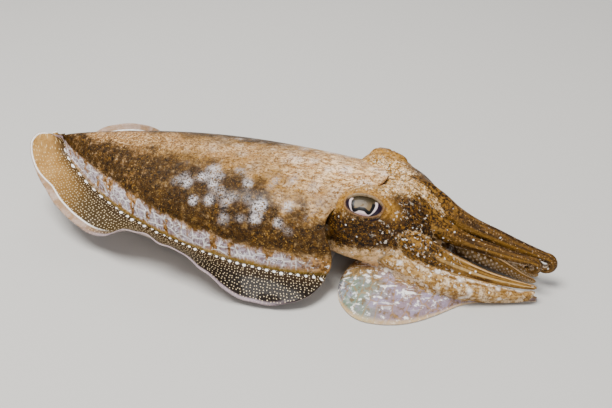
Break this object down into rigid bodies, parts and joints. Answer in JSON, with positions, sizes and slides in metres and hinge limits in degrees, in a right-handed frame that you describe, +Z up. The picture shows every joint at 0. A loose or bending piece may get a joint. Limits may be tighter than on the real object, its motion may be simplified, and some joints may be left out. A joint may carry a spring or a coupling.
{
  "type": "common cuttlefish",
  "caption": "Still, life-size cuttlefish settled on the bottom: broad mantle with rippled fins, head with slit-pupil eyes, funnel, and arms held forward.",
  "frame": {"origin": "middle of the whole in plan, on the floor that the belly and the lowest arms rest on", "axes": "+X towards the head and arms along the body, +Y to the animal's left, +Z up"},
  "size_m": [0.3092, 0.1304, 0.0547],
  "materials": {
    "skin": "moist mottled skin, brown on tan with pale spots",
    "fin_skin": "thin moist skin with fine pale dots and a white edge line",
    "pale_skin": "moist pale skin with a lilac and green sheen",
    "eye": "wet, dark, with a pale rim under a W-shaped pupil"
  },
  "bodies": {
    "root": {"mantle": "skin", "head": "skin", "funnel": "pale_skin", "eye_right": "eye", "fin_right_rear": "fin_skin", "fin_right_middle": "fin_skin", "fin_right_front": "fin_skin", "eye_left": "eye", "fin_left_rear": "fin_skin", "fin_left_middle": "fin_skin", "fin_left_front": "fin_skin", "arm_right_3_base": "skin", "arm_right_3_tip": "skin", "arm_right_2_base": "skin", "arm_right_2_tip": "skin", "arm_right_1_base": "skin", "arm_right_1_middle": "skin", "arm_right_1_curl": "skin", "arm_right_4_base": "pale_skin", "arm_right_4_tip": "pale_skin", "arm_left_3_base": "skin", "arm_left_3_tip": "skin", "arm_left_2_base": "skin", "arm_left_2_tip": "skin", "arm_left_1_base": "skin", "arm_left_1_middle": "skin", "arm_left_1_curl": "skin", "arm_left_4_base": "pale_skin", "arm_left_4_tip": "pale_skin"}
  },
  "joints": []
}
